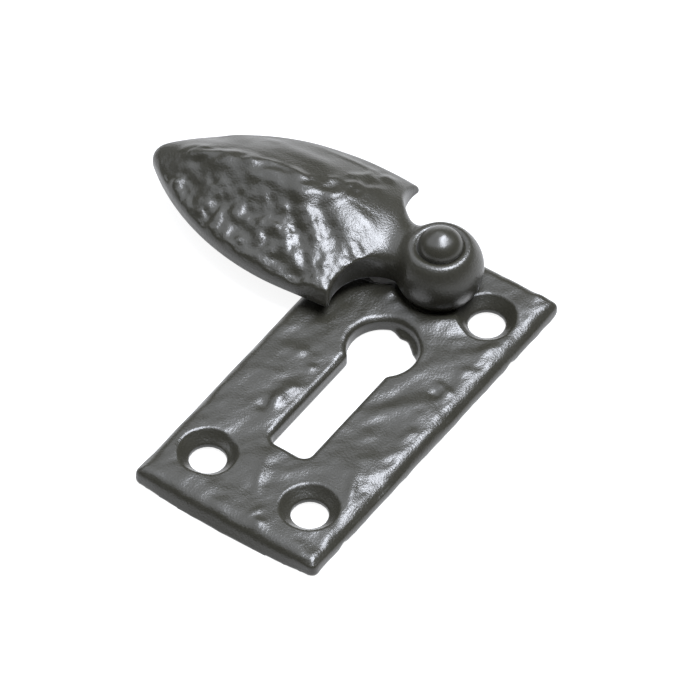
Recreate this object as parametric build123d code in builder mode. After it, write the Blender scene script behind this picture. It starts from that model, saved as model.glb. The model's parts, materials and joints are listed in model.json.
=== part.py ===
from build123d import *
import os
from math import cos, radians, sin, sqrt, tan

# Keyhole escutcheon with a swing cover, in millimetres and degrees.
# The plate lies on its back. The origin is the middle of the four screw holes on the back face,
# +Z points out of the face, +Y towards the pivot end and +X across the plate.

# Back plate
plate_width = 26.6
plate_length = 51.6
plate_thickness = 2.4
plate_corner = 1.5
plate_edge_round = 1.35
foot_bow = 0.8

# Screw holes, set in from the plate's edges, countersunk for the heads and opened out a little at the back
screw_inset_x = 5.8
screw_inset_y = 7.3
screw_hole_radius = 2.3
screw_head_radius = 3.75
screw_head_angle = 90
screw_rim_round = 0.45
screw_back_radius = 2.7
screw_back_angle = 90

# Keyhole
key_round_radius = 4.4
key_round_y = 7.3
key_slot_width = 5.7
key_slot_reach = 19.9
key_slot_corner = 1.2
key_throat_round = 0.9
key_rim_round = 0.85
key_back_bevel = 0.3

# Pivot rivet
pivot_inset = 6.7
rivet_radius = 1.75
rivet_head_radius = 2.85
rivet_head_band = 0.1
rivet_dome_height = 2.4
rivet_dome_flat = 0.5
rivet_tail_radius = 2.8
rivet_tail_angle = 90

# Swing cover: boss
boss_lift = 0.12
boss_height = 7.4
boss_radius = 5.5
boss_middle = 3.4
bore_clearance = 0.06
head_recess_depth = 0.4
head_recess_clearance = 0.2
head_clearance = 0.08

# Swing cover: leaf, measured from the pivot along its own middle line
cover_turn = 186.3
leaf_reach = 40.4
leaf_width = 22.2
leaf_shoulder = 9.2
leaf_taper_start = 15.5
leaf_tip_round = 2.0
leaf_rise = 1.6
leaf_rim = 1.6
leaf_rim_round = 1.8
leaf_foot_round = 0.3
leaf_slope = 29
ridge_end = 15.5
ridge_fall = 17
ridge_softness = 1.2
neck_side_slope = 26
neck_softness = 3.0
neck_width = 6.8
neck_notch_radius = 5.5
neck_notch_round = 0.4
# The far notch is cast a little nearer to the pivot than the near one
far_notch_shift = 0.7
neck_root = 2.4
neck_root_round = 1.0

# Grid that the curved leaf top is laid through, and how far it is laid past the leaf's outline
leaf_row_step = 1.18
leaf_columns = 29
leaf_top_margin = 2.0

os.makedirs("parts", exist_ok=True)

plate_top = plate_thickness
pivot_y = plate_length / 2 - pivot_inset
pivot_axis = Axis((0, pivot_y, 0), (0, 0, 1))
pivot_section = Plane(origin=(0, pivot_y, 0), x_dir=(1, 0, 0), z_dir=(0, -1, 0))

# Back plate: straight face, foot edge bowed a little at the back
half_width = plate_width / 2
half_length = plate_length / 2
screw_spacing_x = plate_width - 2 * screw_inset_x
screw_spacing_y = plate_length - 2 * screw_inset_y
with BuildPart() as back_plate:
    with BuildSketch():
        with BuildLine():
            Polyline(
                (half_width, -half_length),
                (half_width, half_length),
                (-half_width, half_length),
                (-half_width, -half_length),
            )
            SagittaArc((-half_width, -half_length), (half_width, -half_length), -foot_bow)
        make_face()
        fillet(vertices(), plate_corner)
    with BuildSketch(Plane.XY.offset(plate_top)):
        Rectangle(plate_width, plate_length)
        fillet(vertices(), plate_corner)
    loft(ruled=True)
    fillet(faces().sort_by(Axis.Z)[-1].edges(), plate_edge_round)
    with BuildSketch(Plane.XY.offset(plate_top)):
        with Locations((0, key_round_y)):
            Circle(key_round_radius)
            Rectangle(key_slot_width, key_slot_reach, align=(Align.CENTER, Align.MAX))
        fillet(vertices().group_by(Axis.Y)[0], key_slot_corner)
        fillet(vertices().group_by(Axis.Y)[-1], key_throat_round)
    extrude(amount=-plate_thickness, mode=Mode.SUBTRACT)
    fillet(faces().sort_by(Axis.Z)[-1].inner_wires().edges(), key_rim_round)
    chamfer(faces().sort_by(Axis.Z)[0].inner_wires().edges(), key_back_bevel)
    with Locations((0, 0, plate_top)):
        with GridLocations(screw_spacing_x, screw_spacing_y, 2, 2):
            CounterSinkHole(
                screw_hole_radius, screw_head_radius, counter_sink_angle=screw_head_angle
            )
    screw_rims = faces().sort_by(Axis.Z)[-1].edges().filter_by(lambda edge: edge.is_closed)
    fillet(screw_rims, screw_rim_round)
    with Locations(Plane.XY.rotated((180, 0, 0))):
        with GridLocations(screw_spacing_x, screw_spacing_y, 2, 2):
            CounterSinkHole(
                screw_hole_radius, screw_back_radius, counter_sink_angle=screw_back_angle
            )
    with Locations(Plane(origin=(0, pivot_y, 0), z_dir=(0, 0, -1))):
        CounterSinkHole(rivet_radius, rivet_tail_radius, counter_sink_angle=rivet_tail_angle)
back_plate.part.label = "back_plate"
export_step(back_plate.part, "parts/back_plate.step")

# Levels of the cover, from the plate's face upwards
boss_foot = plate_top + boss_lift
boss_top = boss_foot + boss_height
ball_level = boss_foot + boss_middle
recess_floor = boss_top - head_recess_depth
leaf_bottom = boss_foot + leaf_rise

# Pivot rivet: domed head in the boss's recess, tail headed over flush with the plate's back
head_seat = recess_floor + head_clearance
band_top = head_seat + rivet_head_band
rivet_top = band_top + rivet_dome_height
dome_flat_level = band_top + rivet_dome_height * sqrt(1 - (rivet_dome_flat / rivet_head_radius) ** 2)
tail_depth = (rivet_tail_radius - rivet_radius) / tan(radians(rivet_tail_angle / 2))
with BuildPart() as pivot_rivet:
    with BuildSketch(pivot_section):
        with BuildLine():
            Polyline(
                (0, rivet_top),
                (0, 0),
                (rivet_tail_radius, 0),
                (rivet_radius, tail_depth),
                (rivet_radius, head_seat),
                (rivet_head_radius, head_seat),
                (rivet_head_radius, band_top),
            )
            EllipticalCenterArc(
                (0, band_top), rivet_head_radius, rivet_dome_height, start_angle=0, arc_size=90
            )
        make_face()
    revolve(axis=pivot_axis)
    split(bisect_by=Plane.XY.offset(dome_flat_level), keep=Keep.BOTTOM)
pivot_rivet.part.label = "pivot_rivet"
export_step(pivot_rivet.part, "parts/pivot_rivet.step")

# Swing cover: a ridged leaf on a waisted neck, cast in one with the ball-shaped boss
bore_radius = rivet_radius + bore_clearance
recess_radius = rivet_head_radius + head_recess_clearance
foot_radius = sqrt(boss_radius**2 - boss_middle**2)
top_radius = sqrt(boss_radius**2 - (boss_height - boss_middle) ** 2)
leaf_half = leaf_width / 2
leaf_plane = Plane(
    origin=(0, pivot_y, leaf_bottom),
    x_dir=(cos(radians(cover_turn)), sin(radians(cover_turn)), 0),
    z_dir=(0, 0, 1),
)
taper_run = leaf_reach - leaf_taper_start
taper_radius = (taper_run**2 + leaf_half**2) / (2 * leaf_half)
leaf_top_length = leaf_reach + leaf_top_margin
leaf_top_half = leaf_half + leaf_top_margin
leaf_rows = round(leaf_top_length / leaf_row_step)
notch_out = neck_width / 2 + neck_notch_radius
notch_along = leaf_shoulder - sqrt(neck_notch_radius**2 - (leaf_half - notch_out) ** 2)


def leaf_half_width(along):
    """Half the leaf's width at a distance from the pivot."""
    past_start = min(max(along - leaf_taper_start, 0), taper_run)
    return leaf_half - taper_radius + sqrt(taper_radius**2 - past_start**2)


def soft(distance, softness):
    """Distance from the middle line, rounded off near it."""
    return sqrt(distance**2 + softness**2) - softness


def leaf_height(along, across):
    """Height of the leaf's top over its underside: two long slopes, hipped down to the neck."""
    long_fall = leaf_half_width(along) - soft(across, ridge_softness)
    long_slope = leaf_rim + tan(radians(leaf_slope)) * long_fall
    ridge_top = leaf_rim + tan(radians(leaf_slope)) * leaf_half
    end_fall = tan(radians(ridge_fall)) * (ridge_end - along)
    side_fall = tan(radians(neck_side_slope)) * soft(across, neck_softness)
    end_slope = ridge_top - end_fall - side_fall
    gap = long_slope - end_slope
    return (long_slope + end_slope - sqrt(gap**2 + ridge_softness**2)) / 2


def leaf_top_point(row, column):
    """One point of the grid that the leaf's top is laid through."""
    along = leaf_top_length * row / leaf_rows
    across = leaf_top_half * (2 * column / leaf_columns - 1)
    height = leaf_height(along, across)
    return leaf_plane.from_local_coords(Vector(along, across, height))


leaf_top = Face.make_surface_from_array_of_points(
    [
        [leaf_top_point(row, column) for column in range(leaf_columns + 1)]
        for row in range(leaf_rows + 1)
    ]
)
with BuildPart() as swing_cover:
    with BuildSketch(leaf_plane):
        with BuildLine():
            Polyline(
                (leaf_taper_start, -leaf_half),
                (neck_root, -leaf_half),
                (neck_root, leaf_half),
                (leaf_taper_start, leaf_half),
            )
            RadiusArc((leaf_taper_start, leaf_half), (leaf_reach, 0), taper_radius)
            RadiusArc((leaf_reach, 0), (leaf_taper_start, -leaf_half), taper_radius)
        make_face()
        fillet(vertices().sort_by(Axis.X)[-1], leaf_tip_round)
        with Locations((notch_along, notch_out), (notch_along - far_notch_shift, -notch_out)):
            Circle(neck_notch_radius, mode=Mode.SUBTRACT)
    extrude(amount=leaf_width)
    extrude(leaf_top, amount=leaf_width, dir=(0, 0, -1), mode=Mode.INTERSECT)
    # Edges run outwards from the pivot: the neck's root, its two notches, then the leaf's rim
    top_edges = faces().sort_by(Axis.Z)[-1].edges().sort_by_distance(leaf_plane.origin)
    fillet(top_edges[3:], leaf_rim_round)
    top_edges = faces().sort_by(Axis.Z)[-1].edges().sort_by_distance(leaf_plane.origin)
    fillet(top_edges[1:3], neck_notch_round)
    foot_edges = faces().sort_by(Axis.Z)[0].edges().sort_by_distance(leaf_plane.origin)
    fillet(foot_edges[1:], leaf_foot_round)
    with BuildSketch(pivot_section):
        with BuildLine():
            Polyline(
                (top_radius, boss_top),
                (recess_radius, boss_top),
                (recess_radius, recess_floor),
                (bore_radius, recess_floor),
                (bore_radius, boss_foot),
                (foot_radius, boss_foot),
            )
            ThreePointArc(
                (foot_radius, boss_foot), (boss_radius, ball_level), (top_radius, boss_top)
            )
        make_face()
    revolve(axis=pivot_axis)
    # Casting fillet where the top of the neck runs into the boss
    fillet(edges(Select.NEW).sort_by(Axis.Z)[-1], neck_root_round)
swing_cover.part.label = "swing_cover"
export_step(swing_cover.part, "parts/swing_cover.step")
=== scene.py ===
import json
from math import cos, pi, radians, sin

import bmesh
import bpy
import numpy as np
from mathutils import Matrix, Vector, noise
from mathutils.bvhtree import BVHTree


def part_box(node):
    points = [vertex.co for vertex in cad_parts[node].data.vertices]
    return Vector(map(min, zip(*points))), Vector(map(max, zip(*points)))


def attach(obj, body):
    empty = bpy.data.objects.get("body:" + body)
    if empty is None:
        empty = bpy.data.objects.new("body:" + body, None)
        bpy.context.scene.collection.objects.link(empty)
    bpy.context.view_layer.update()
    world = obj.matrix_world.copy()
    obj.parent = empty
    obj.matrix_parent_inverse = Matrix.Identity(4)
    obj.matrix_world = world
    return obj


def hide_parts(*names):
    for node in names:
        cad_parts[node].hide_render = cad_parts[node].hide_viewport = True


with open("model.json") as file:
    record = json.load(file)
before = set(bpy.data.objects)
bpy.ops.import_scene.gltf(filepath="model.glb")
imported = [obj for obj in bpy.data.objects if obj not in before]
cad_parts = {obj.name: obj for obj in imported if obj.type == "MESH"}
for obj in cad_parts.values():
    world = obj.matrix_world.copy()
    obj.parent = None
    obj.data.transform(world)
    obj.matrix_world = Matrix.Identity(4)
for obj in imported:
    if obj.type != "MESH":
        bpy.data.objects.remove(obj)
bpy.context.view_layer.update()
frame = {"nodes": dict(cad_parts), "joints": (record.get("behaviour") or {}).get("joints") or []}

# A keyhole escutcheon of hammered cast iron in satin black paint, lying on a white light table.
# Meshes, table, lights and camera are in metres, as the frame is. The hammering is worked in
# millimetres, as are lengths named _mm. Turns and bearings are in degrees.
mm = 0.001

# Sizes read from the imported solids
pivot = Vector(frame["joints"][0]["pos_m"])
plate_low, plate_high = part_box("back_plate")
plate_face = plate_high.z

# How far the cover is turned from +X in the photograph, which is its rest
cover_turn = 186.3

# The photograph's view: where the middle of the plate's face stands in its 700 pixel square
view_azimuth = radians(35.3)
view_elevation = radians(48.9)
picture_side = 700
pixels_per_mm = 8.3
face_middle_pixel = Vector((348.0, 383.0))
camera_distance = 1.4
sensor_width_mm = 36.0


def linear(hex_colour):
    """An sRGB hex colour as linear red, green, blue and alpha."""
    values = [int(hex_colour[i : i + 2], 16) / 255 for i in (1, 3, 5)]
    return [v / 12.92 if v <= 0.04045 else ((v + 0.055) / 1.055) ** 2.4 for v in values] + [1.0]


def add_node(tree, kind, inputs, **settings):
    """A shader node with its settings, each input filled by a value or linked to another node."""
    made = tree.nodes.new(kind)
    for name, value in settings.items():
        setattr(made, name, value)
    for name, value in inputs.items():
        if isinstance(value, bpy.types.NodeSocket):
            tree.links.new(value, made.inputs[name])
        else:
            made.inputs[name].default_value = value
    return made


def new_material(name):
    """An empty node material and its tree."""
    material = bpy.data.materials.new(name)
    material.use_nodes = True
    material.node_tree.nodes.clear()
    return material, material.node_tree


# Hammered shapes

# Fineness of the meshes that are hammered
casting_voxel_mm = 0.2
rivet_voxel_mm = 0.12
weld_distance = 1e-7

# How far apart the numbered draws of random height lie in the noise
draw_step = 17.3

# Beaten faces lie this much below the cast ones on the whole, which leaves room for the lumps
face_drop = 0.06

# The way that the hammer drew out the plate's face, from +X
plate_drawn_turn = 65


def cast_copy(name, node, voxel_mm):
    """An even, fine mesh that lies on a solid's surface, for the hammer marks to be worked into."""
    welded = bmesh.new()
    welded.from_mesh(frame["nodes"][node].data)
    bmesh.ops.remove_doubles(welded, verts=welded.verts, dist=weld_distance)
    surface = BVHTree.FromBMesh(welded)
    mesh = bpy.data.meshes.new(name)
    welded.to_mesh(mesh)
    welded.free()
    piece = bpy.data.objects.new(name, mesh)
    bpy.context.scene.collection.objects.link(piece)
    remesh = piece.modifiers.new("even mesh", "REMESH")
    remesh.mode = "VOXEL"
    remesh.voxel_size = voxel_mm * mm
    remesh.use_smooth_shade = True
    graph = bpy.context.evaluated_depsgraph_get()
    piece.data = bpy.data.meshes.new_from_object(piece.evaluated_get(graph))
    piece.modifiers.clear()
    bpy.data.meshes.remove(mesh)
    piece.data.name = name
    for vertex in piece.data.vertices:
        vertex.co = surface.find_nearest(vertex.co)[0]
    piece.data.update()
    return piece


def points_and_normals(piece):
    """The mesh's points in millimetres and their unit normals, as arrays."""
    count = len(piece.data.vertices)
    points = np.empty(count * 3)
    normals = np.empty(count * 3)
    piece.data.vertices.foreach_get("co", points)
    piece.data.vertices.foreach_get("normal", normals)
    return points.reshape(-1, 3) / mm, normals.reshape(-1, 3)


def move_points(piece, points):
    """Puts the mesh's points at these places, given in millimetres."""
    piece.data.vertices.foreach_set("co", (points * mm).ravel())
    piece.data.update()


def ease(piece, points, weight, times):
    """Draws each point towards the middle of its neighbours, as far as its weight says, several times."""
    ends = np.empty(len(piece.data.edges) * 2, np.int32)
    piece.data.edges.foreach_get("vertices", ends)
    first, second = ends.reshape(-1, 2).T
    here = np.concatenate([first, second])
    there = np.concatenate([second, first])
    number = np.bincount(here, minlength=len(points))
    for _ in range(times):
        for axis in range(3):
            middle = np.bincount(here, points[there, axis], len(points)) / number
            points[:, axis] += weight * (middle - points[:, axis])


def rough(points, rise, lump_sizes, draw):
    """Smooth random height up to this rise, with lumps of these sizes along each axis."""
    places = points / np.asarray(lump_sizes, float) + draw_step * draw
    return rise * np.array([noise.noise(place) for place in places.tolist()])


def ramp(values, start, end):
    """0 at start and 1 at end, smooth between them."""
    share = np.clip((values - start) / (end - start), 0, 1)
    return share * share * (3 - 2 * share)


def turned(along, across, turn):
    """Places measured along and across a direction that is turned by this much."""
    cosine = cos(radians(turn))
    sine = sin(radians(turn))
    return along * cosine + across * sine, across * cosine - along * sine


def drawn(along, across, turn):
    """Flat places turned to lie along the way that the metal was drawn out, for roughness to follow."""
    lengthwise, crosswise = turned(along, across, turn)
    return np.column_stack([lengthwise, crosswise, np.zeros_like(along)])


def hammer_marks(along, across, marks):
    """Height of soft oval marks, each with its place, half length, half width, turn and rise."""
    height = np.zeros_like(along)
    for mark_along, mark_across, half_length, half_width, turn, rise in marks:
        lengthwise, crosswise = turned(along - mark_along, across - mark_across, turn)
        height += rise * np.exp(-((lengthwise / half_length) ** 2) - (crosswise / half_width) ** 2)
    return height


def measure_from(path, along, across):
    """How far along a path of straight runs each point lies, and how far to the side of it."""
    nearest = np.full_like(along, np.inf)
    run_place = np.zeros_like(along)
    side = np.zeros_like(along)
    done = 0.0
    for (start_along, start_across), (end_along, end_across) in zip(path, path[1:]):
        length = np.hypot(end_along - start_along, end_across - start_across)
        ahead_along = (end_along - start_along) / length
        ahead_across = (end_across - start_across) / length
        from_along = along - start_along
        from_across = across - start_across
        place = np.clip(from_along * ahead_along + from_across * ahead_across, 0, length)
        off_along = from_along - place * ahead_along
        off_across = from_across - place * ahead_across
        distance = np.hypot(off_along, off_across)
        closer = distance < nearest
        nearest = np.where(closer, distance, nearest)
        run_place = np.where(closer, done + place, run_place)
        to_side = off_across * ahead_along - off_along * ahead_across
        side = np.where(closer, distance * np.sign(to_side), side)
        done += length
    return run_place, side


# Marks on the plate's face, in its own x and y: lumps rise, dents fall
plate_marks = (
    (-6.2, -8.7, 0.9, 0.9, 0, -0.30),
    (-5.3, -6.4, 2.6, 0.9, 90, 0.36),
    (-5.7, -6.9, 0.9, 0.9, 0, 0.16),
    (-5.0, -0.6, 0.8, 0.6, 65, 0.20),
    (-7.5, 0.8, 1.0, 0.8, 65, 0.20),
    (-4.7, -4.4, 0.8, 0.6, 65, 0.20),
    (5.3, -2.8, 2.4, 1.0, 65, 0.16),
    (5.6, 1.3, 2.5, 1.0, 65, -0.26),
    (7.5, 0.6, 2.5, 1.0, 65, 0.14),
    (6.8, -5.5, 1.2, 0.9, 65, 0.16),
    (9.6, 4.7, 0.9, 0.9, 0, -0.30),
    (9.2, 6.2, 0.8, 0.5, 0, 0.12),
    (10.6, 5.9, 0.8, 0.7, 0, 0.16),
    (10.5, 9.6, 1.3, 0.7, 65, 0.16),
    (10.8, 13.9, 1.4, 0.7, 65, 0.16),
    (11.4, 16.5, 0.9, 0.6, 65, 0.12),
    (10.0, -13.4, 2.6, 0.6, -67, 0.22),
    (-0.2, -17.8, 3.0, 0.6, -66, 0.22),
    (2.6, -23.3, 1.3, 0.5, 75, 0.20),
    (-6.0, -22.6, 2.0, 1.4, 0, 0.20),
    (3.9, -24.2, 1.0, 0.8, 0, 0.20),
    (10.9, -22.8, 1.4, 1.1, 0, -0.24),
    (-3.9, 14.6, 0.9, 0.7, 65, 0.16),
)

# Marks on the leaf, measured along it from the pivot and across it towards the viewer
leaf_marks = (
    (32.0, 4.0, 1.4, 1.8, 0, -0.36),
    (34.4, 4.2, 1.0, 1.4, 0, 0.20),
    (32.4, 1.8, 0.9, 0.8, 0, -0.18),
    (22.5, 5.3, 4.5, 3.2, 0, -0.30),
    (13.4, 3.7, 3.0, 1.1, 144, -0.60),
    (16.2, 5.9, 3.4, 0.9, 138, -0.36),
    (11.2, 10.4, 2.4, 2.0, 0, 0.5),
    (11.8, 7.9, 0.8, 0.6, 40, 0.16),
    (10.2, 8.9, 0.7, 0.6, 40, 0.16),
    (7.6, 0.6, 0.6, 0.6, 0, -0.22),
    (16.5, -8.5, 4.0, 0.5, -2, 0.12),
    (26.6, -6.5, 1.6, 0.8, 0, 0.14),
    (9.5, 1.0, 2.6, 0.9, -12, 0.14),
    (25.3, 1.5, 0.7, 0.5, 147, 0.12),
    (24.2, 3.7, 0.6, 0.5, 147, 0.12),
    (25.8, 3.3, 0.6, 0.5, 147, 0.12),
    (27.0, 6.3, 0.7, 0.6, 147, 0.14),
    (27.3, 7.2, 0.6, 0.5, 147, 0.10),
    (25.1, 8.1, 0.6, 0.5, 147, 0.12),
    (23.6, 6.4, 0.7, 0.6, 147, 0.14),
    (21.2, 6.3, 0.7, 0.5, 147, 0.14),
    (19.3, 6.3, 0.6, 0.5, 147, 0.12),
    (20.6, 7.8, 0.6, 0.5, 147, 0.14),
    (19.3, 8.9, 0.6, 0.5, 147, 0.12),
    (20.1, 9.7, 0.5, 0.5, 147, 0.10),
)

# The ridge as it wavers from the tip to the neck, then runs down the hip to the far shoulder
ridge_path = ((34, 0.4), (27, 0.4), (23, 0.4), (18, 0.9), (15.2, -0.7), (13.3, -3.9), (11.9, -9.6))

# In the functions below, a roughness is a rise, lump sizes along each axis and the number of its draw,
# and a band is where a ramp starts and where it ends


def plate_relief(x, y):
    """Height of the hammering on the plate's face, with its long edges rolled and a hump by the boss."""
    ripple = (0.10, (4.0, 1.8, 1), 1)
    swell = (0.28, (6.0, 4.5, 1), 2)
    grain = (0.05, (1.6, 1.2, 1), 3)
    # The face is flatter at the right of the foot
    foot_calm = 0.7
    foot_calm_right = (3.0, 7.0)
    foot_calm_down = (11.0, 15.0)
    roll_wander = (0.5, (3.0, 3.0, 1), 4)
    right_roll = 0.2
    right_roll_band = (10.4, 12.4)
    left_roll = 0.1
    left_roll_band = (10.4, 13.0)
    edge_lumps = (0.12, (1.8, 1.3, 1), 9)
    edge_lumps_x = 10.8
    edge_lumps_half_width = 1.3
    under_boss_band = (4.2, 6.0)
    hump_rise = 0.45
    hump_inner_band = (4.5, 5.4)
    hump_outer_band = (5.4, 8.6)
    hump_down_band = (-18.0, -15.0)
    from_pivot = np.hypot(x, y - pivot.y / mm)
    flat = drawn(x, y, plate_drawn_turn)
    relief = rough(flat, *ripple) + rough(flat, *swell) + rough(flat, *grain)
    relief *= 1 - foot_calm * ramp(x, *foot_calm_right) * ramp(-y, *foot_calm_down)
    relief += hammer_marks(x, y, plate_marks)
    wander = rough(flat, *roll_wander)
    relief -= right_roll * ramp(x + wander, *right_roll_band)
    relief -= left_roll * ramp(-x + wander, *left_roll_band)
    along_edge = np.exp(-(((x - edge_lumps_x) / edge_lumps_half_width) ** 2))
    relief += along_edge * rough(flat, *edge_lumps)
    relief *= ramp(from_pivot, *under_boss_band)
    around_boss = ramp(from_pivot, *hump_inner_band) * (1 - ramp(from_pivot, *hump_outer_band))
    relief += hump_rise * around_boss * ramp(-y, *hump_down_band)
    return relief


def draw_in_walls(points):
    """Leaves the plate's walls uneven, ragged along the back and nicked twice on the right."""
    back_inset = 0.08
    back_band = (0.0, 0.5)
    back_lumps = (1, (1.5, 1.5, 1.5), 11)
    wall_inset = 0.04
    wall_waves = (1, (4.0, 4.0, 1), 14)
    nick_places = (-19.4, 15.4)
    nick_depth = 0.25
    nick_half_width = 0.5
    nick_band = (0.0, 0.9)
    side_band = (12.0, 13.0)
    end_band = (24.5, 25.5)
    x, y, z = points.T
    inward = back_inset * (1 - ramp(z, *back_band)) * (1 + rough(points, *back_lumps))
    inward += wall_inset * (1 + rough(drawn(x, y, plate_drawn_turn), *wall_waves))
    for nick_y in nick_places:
        nick = nick_depth * np.exp(-(((y - nick_y) / nick_half_width) ** 2))
        inward += nick * (1 - ramp(z, *nick_band)) * (x > 0)
    x -= np.sign(x) * inward * ramp(np.abs(x), *side_band)
    y -= np.sign(y) * inward * ramp(np.abs(y), *end_band)


def edge_height(inset, radius):
    """Height of the plate's face this far in from its outline, with its edge rounded to this radius."""
    reach = np.clip(radius - inset, 0, radius)
    return plate_face / mm - radius + np.sqrt(radius**2 - reach**2)


def dress_edge(points):
    """Hammers the plate's edge rounder and draws its corners out, both inside the cast outline."""
    cast_round = 1.35
    worn_round = 1.75
    corner_radius = 1.5
    squareness = 4
    # The edge is worn less towards the corners
    corner_x_band = (8.5, 12.0)
    corner_y_band = (21.0, 24.5)
    least_length = 1e-9
    half_width = plate_high.x / mm
    half_length = plate_high.y / mm
    foot_bow = -plate_low.y / mm - half_length
    x, y, z = points.T
    bow = foot_bow * (1 - (x / half_width) ** 2) * (1 - z / (plate_face / mm)) * (y < 0)
    over_x = np.abs(x) - (half_width - corner_radius)
    over_y = np.abs(y) - bow - (half_length - corner_radius)
    past_x = np.maximum(over_x, 0)
    past_y = np.maximum(over_y, 0)
    rounded = np.hypot(past_x, past_y)
    inset = corner_radius - rounded - np.minimum(np.maximum(over_x, over_y), 0)
    worn = 1 - ramp(np.abs(x), *corner_x_band) * ramp(np.abs(y), *corner_y_band)
    z *= 1 - worn * (1 - edge_height(inset, worn_round) / edge_height(inset, cast_round))
    squared = (past_x**squareness + past_y**squareness) ** (1 / squareness)
    pull = np.where(squared > 0, rounded / np.maximum(squared, least_length), 1.0) - 1
    x += np.sign(x) * past_x * pull
    y += np.sign(y) * past_y * pull
    np.clip(x, -half_width, half_width, out=x)


def leave_flash(points):
    """Leaves ragged casting flash low inside the round of the keyhole, on its far side."""
    key_round_y = 7.3
    flash_reach = 0.7
    flash_rag = (0.5, (1.6, 1.6, 3.0), 13)
    start_bearing_band = (15, 45)
    end_bearing_band = (90, 115)
    height_band = (0.3, 1.4)
    radius_band = (4.8, 7.2)
    x, y, z = points.T
    out = np.hypot(x, y - key_round_y)
    bearing = np.degrees(np.arctan2(y - key_round_y, x))
    flash = ramp(bearing, *start_bearing_band) * (1 - ramp(bearing, *end_bearing_band))
    flash *= (1 - ramp(z, *height_band)) * (1 - ramp(out, *radius_band))
    flash *= flash_reach + rough(points, *flash_rag)
    outward = (points[:, :2] - (0, key_round_y)) / np.maximum(out, 1)[:, None]
    points[:, :2] -= flash[:, None] * outward


def hammered_plate():
    """The plate: its face beaten, its walls uneven, its edge worn and flash left in its keyhole."""
    face_slope_band = (0.2, 0.8)
    face_level_band = (0.9, 1.8)
    piece = cast_copy("hammered_plate", "back_plate", casting_voxel_mm)
    points, normals = points_and_normals(piece)
    x, y, z = points.T
    face = ramp(normals[:, 2], *face_slope_band) * ramp(z, *face_level_band)
    z += (plate_relief(x, y) - face_drop) * face
    draw_in_walls(points)
    dress_edge(points)
    leave_flash(points)
    move_points(piece, points)
    return piece


def ridge_relief(along, across):
    """Height of the wrinkled crest that follows the leaf's ridge and hip, lower on the hip."""
    crest_rise = 0.3
    crest_half_width = 1.9
    crest_squareness = 4
    hip_drop = 0.15
    hip_place_band = (17.0, 20.0)
    far_rim_band = (-10.2, -7.5)
    wrinkles = (0.42, (2.2, 1.3, 1), 8)
    wrinkle_turn = 11
    place, side = measure_from(ridge_path, along, across)
    crest = np.exp(-((side / crest_half_width) ** crest_squareness)) * ramp(across, *far_rim_band)
    height = crest_rise - hip_drop * ramp(place, *hip_place_band)
    return crest * (height + rough(drawn(place, side, wrinkle_turn), *wrinkles))


def leaf_relief(along, across):
    """Height of the hammering on the leaf: near slope beaten, neck end pitted, far slope full and smooth."""
    near_side_band = (0.5, 4.5)
    hip_along = 16.3
    hip_slant = 0.4
    hip_band = (-0.5, 1.2)
    lumps = (0.34, (1.7, 1.3, 1), 5)
    lumps_turn = 147
    pits = (0.1, (0.8, 0.8, 1), 6)
    # The lumps grow towards the tip and nearly vanish at the neck end
    tip_growth = 0.5
    tip_band = (24.0, 32.0)
    neck_calm = 0.85
    neck_pits = (0.13, (1.0, 0.9, 1), 10)
    swell = (1, (5.0, 3.0, 1), 7)
    swell_rise = 0.22
    swell_lost_at_neck = 0.12
    bulge_rise = 0.5
    bulge_across = -5.6
    bulge_half_width = 5.0
    bulge_end_band = (25.0, 34.0)
    flat = drawn(along, across, 0)
    near = ramp(across, *near_side_band)
    neck_end = ramp(hip_along - hip_slant * across - along, *hip_band)
    beaten = near * (1 - neck_calm * neck_end) * (1 + tip_growth * ramp(along, *tip_band))
    relief = beaten * (rough(drawn(along, across, lumps_turn), *lumps) + rough(flat, *pits))
    relief += neck_end * near * rough(flat, *neck_pits)
    relief += (swell_rise - swell_lost_at_neck * neck_end) * rough(flat, *swell)
    relief += ridge_relief(along, across)
    relief += hammer_marks(along, across, leaf_marks)
    bulge = np.clip(1 - ((across - bulge_across) / bulge_half_width) ** 2, 0, None)
    relief += bulge_rise * bulge * (1 - ramp(along, *bulge_end_band))
    return relief


def hammered_cover():
    """The swing cover: its leaf beaten, its neck run smoothly into the boss and the boss's rim eased."""
    leaf_slope_band = (0.35, 0.75)
    leaf_start_band = (5.6, 7.4)
    root_radius = 6.0
    root_half_width = 1.5
    root_start_band = (2.0, 3.5)
    root_level_band = (4.5, 5.5)
    root_times = 160
    rim_inner_band = (2.95, 3.05)
    rim_outer_band = (4.0, 4.6)
    rim_level_band = (9.2, 9.4)
    rim_times = 12
    piece = cast_copy("hammered_cover", "swing_cover", casting_voxel_mm)
    points, normals = points_and_normals(piece)
    from_pivot = points - np.array(pivot) / mm
    along, across = turned(from_pivot[:, 0], from_pivot[:, 1], cover_turn)
    from_boss = np.hypot(along, across)
    z = points[:, 2]
    leaf = ramp(normals[:, 2], *leaf_slope_band) * ramp(along, *leaf_start_band)
    z += (leaf_relief(along, across) - face_drop) * leaf
    root = np.exp(-(((from_boss - root_radius) / root_half_width) ** 2))
    root *= ramp(along, *root_start_band) * ramp(z, *root_level_band)
    ease(piece, points, root, root_times)
    rim = ramp(from_boss, *rim_inner_band) * (1 - ramp(from_boss, *rim_outer_band))
    rim *= ramp(z, *rim_level_band)
    ease(piece, points, rim, rim_times)
    move_points(piece, points)
    return piece


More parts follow.
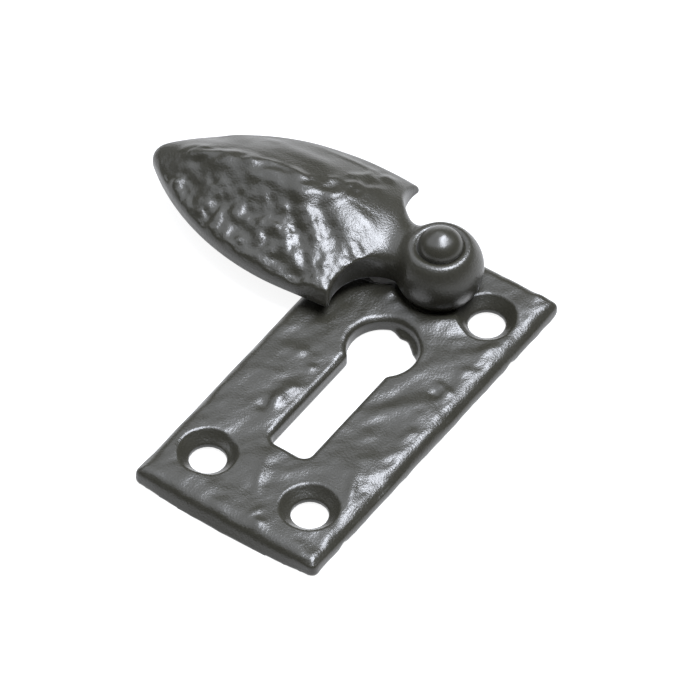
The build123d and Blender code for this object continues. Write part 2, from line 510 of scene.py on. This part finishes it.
def headed_rivet():
    """The pivot rivet, its head set a little to one side of its hole and drawn up to a blunt point."""
    head_level_band = (9.0, 9.5)
    head_shift_x = 0.14
    head_shift_y = 0.08
    point_fall = 0.18
    point_band = (0.0, 1.6)
    piece = cast_copy("headed_rivet", "pivot_rivet", rivet_voxel_mm)
    points, _ = points_and_normals(piece)
    x, y, z = points.T
    head = ramp(z, *head_level_band)
    x += head_shift_x * head
    y += head_shift_y * head
    out = np.hypot(x - head_shift_x, y - pivot.y / mm - head_shift_y)
    z -= point_fall * head * ramp(out, *point_band)
    move_points(piece, points)
    return piece


# Finishes


def black_paint(name, grain_rise_mm, smooth, dull):
    """Satin black paint sprayed on iron: a soft sheen, from smooth to dull, over the metal's fine grain."""
    # The real grain, about 0.1 mm, is too fine to show, so it is drawn nearly three times as coarse
    grain_mm = 0.27
    grain_detail = 2.0
    cloud_mm = 3.0
    cloud_detail = 3.0
    cloud_low = 0.3
    cloud_high = 0.7
    darker_black = "#1c1b16"
    lighter_black = "#27261f"
    # Numbers of the sockets that a Mix node uses for colours
    mix_first = 6
    mix_second = 7
    mix_result = 2
    material, tree = new_material(name)
    place = add_node(tree, "ShaderNodeTexCoord", {}).outputs["Object"]
    grain = add_node(
        tree,
        "ShaderNodeTexNoise",
        {"Vector": place, "Scale": 1 / (grain_mm * mm), "Detail": grain_detail},
    )
    cloud = add_node(
        tree,
        "ShaderNodeTexNoise",
        {"Vector": place, "Scale": 1 / (cloud_mm * mm), "Detail": cloud_detail},
    )
    gloss = add_node(
        tree,
        "ShaderNodeMapRange",
        {
            "Value": cloud.outputs["Fac"],
            "From Min": cloud_low,
            "From Max": cloud_high,
            "To Min": smooth,
            "To Max": dull,
        },
    )
    tone = add_node(
        tree,
        "ShaderNodeMix",
        {
            "Factor": grain.outputs["Fac"],
            mix_first: linear(darker_black),
            mix_second: linear(lighter_black),
        },
        data_type="RGBA",
    )
    bump = add_node(
        tree,
        "ShaderNodeBump",
        {"Height": grain.outputs["Fac"], "Strength": 1.0, "Distance": grain_rise_mm * mm},
    )
    paint = add_node(
        tree,
        "ShaderNodeBsdfPrincipled",
        {
            "Base Color": tone.outputs[mix_result],
            "Roughness": gloss.outputs["Result"],
            "Normal": bump.outputs["Normal"],
        },
    )
    add_node(tree, "ShaderNodeOutputMaterial", {"Surface": paint.outputs["BSDF"]})
    return material


def white_sheet(name, white, glow):
    """A matt white sheet that may glow, as a light table does: bright, with pale soft shadows."""
    matt = 0.6
    material, tree = new_material(name)
    sheet = add_node(
        tree,
        "ShaderNodeBsdfPrincipled",
        {
            "Base Color": linear(white),
            "Roughness": matt,
            "Emission Color": linear("#ffffff"),
            "Emission Strength": glow,
        },
    )
    add_node(tree, "ShaderNodeOutputMaterial", {"Surface": sheet.outputs["BSDF"]})
    return material


# Table, lights and camera


def lay_table():
    """A glowing light table, and on it a small card that does not glow, set only under the screw hole that
    the cover hides: painted shade that keeps that hole dim.
    """
    table_side = 3.0
    table_drop_mm = 0.06
    shade_card_side = 10 * mm
    shade_card_drop_mm = 0.02
    hidden_hole = (-7.5 * mm, 18.5 * mm)
    acrylic = white_sheet("white acrylic light table", "#747474", 0.9)
    # The card lacks the table's glow and lies only under the hidden screw hole, to paint shade where the
    # cover shades the table
    painted_shade_card = white_sheet("white card painting shade under the cover", "#dcdcdc", 0.02)
    for name, side, place, drop_mm, material in (
        ("table", table_side, (0, 0), table_drop_mm, acrylic),
        ("card", shade_card_side, hidden_hole, shade_card_drop_mm, painted_shade_card),
    ):
        bpy.ops.mesh.primitive_plane_add(size=1, location=(*place, plate_low.z - drop_mm * mm))
        sheet = bpy.context.object
        sheet.name = name
        sheet.scale = (side, side, 1)
        sheet.data.materials.append(material)


def soft_light(name, direction, distance, width, length, radiance):
    """A soft box of cool daylight tubes that faces the middle of the plate, its length along Y."""
    daylight = "#f1f5ff"
    light = bpy.data.lights.new(name, "AREA")
    light.shape = "RECTANGLE"
    light.size = width
    light.size_y = length
    light.energy = radiance * pi * width * length
    light.color = linear(daylight)[:3]
    lamp = bpy.data.objects.new(name, light)
    away = Vector(direction).normalized()
    across = Vector((0, 1, 0)).cross(away).normalized()
    lamp.location = away * distance
    lamp.rotation_euler = Matrix((across, away.cross(across), away)).transposed().to_euler()
    bpy.context.scene.collection.objects.link(lamp)


def light_room():
    """A dim room, a long bright soft box overhead and a wide pale panel on the left."""
    room_glow = 0.15
    world = bpy.data.worlds.new("dim room")
    world.use_nodes = True
    background = world.node_tree.nodes["Background"]
    background.inputs["Color"].default_value = linear("#ffffff")
    background.inputs["Strength"].default_value = room_glow
    bpy.context.scene.world = world
    soft_light(
        "overhead soft box", direction=(0.2, 0.2, 0.96), distance=1.0, width=0.42, length=0.8, radiance=31.0
    )
    soft_light(
        "ceiling panel", direction=(-0.37, 0.05, 0.93), distance=1.2, width=1.7, length=1.7, radiance=2.15
    )


def set_camera():
    """A long lens at the photograph's angle, with the plate where the photograph has it."""
    back = Vector(
        (
            sin(view_azimuth) * cos(view_elevation),
            -cos(view_azimuth) * cos(view_elevation),
            sin(view_elevation),
        )
    )
    right = Vector((cos(view_azimuth), sin(view_azimuth), 0))
    up = back.cross(right)
    middle = Vector((picture_side / 2, picture_side / 2))
    offset = (middle - face_middle_pixel) / pixels_per_mm * mm
    target = Vector((0, 0, plate_face)) + right * offset.x - up * offset.y
    lens = bpy.data.cameras.new("long lens")
    lens.sensor_width = sensor_width_mm
    lens.lens = sensor_width_mm * camera_distance * pixels_per_mm / mm / picture_side
    camera = bpy.data.objects.new("camera", lens)
    camera.location = target + back * camera_distance
    camera.rotation_euler = back.to_track_quat("Z", "Y").to_euler()
    bpy.context.scene.collection.objects.link(camera)
    bpy.context.scene.camera = camera


cast_paint = black_paint(
    "satin black paint on hammered cast iron", grain_rise_mm=0.04, smooth=0.28, dull=0.36
)
rivet_paint = black_paint(
    "satin black paint on a headed steel rivet", grain_rise_mm=0.008, smooth=0.26, dull=0.32
)
for piece, body, node, slot, paint in (
    (hammered_plate(), "plate", "back_plate", "black_iron", cast_paint),
    (hammered_cover(), "cover", "swing_cover", "black_iron", cast_paint),
    (headed_rivet(), "plate", "pivot_rivet", "black_rivet", rivet_paint),
):
    piece.data.materials.clear()
    piece.data.materials.append(paint)
    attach(piece, body)
    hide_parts(node)

lay_table()
light_room()
set_camera()
bpy.context.scene.view_settings.view_transform = "Standard"
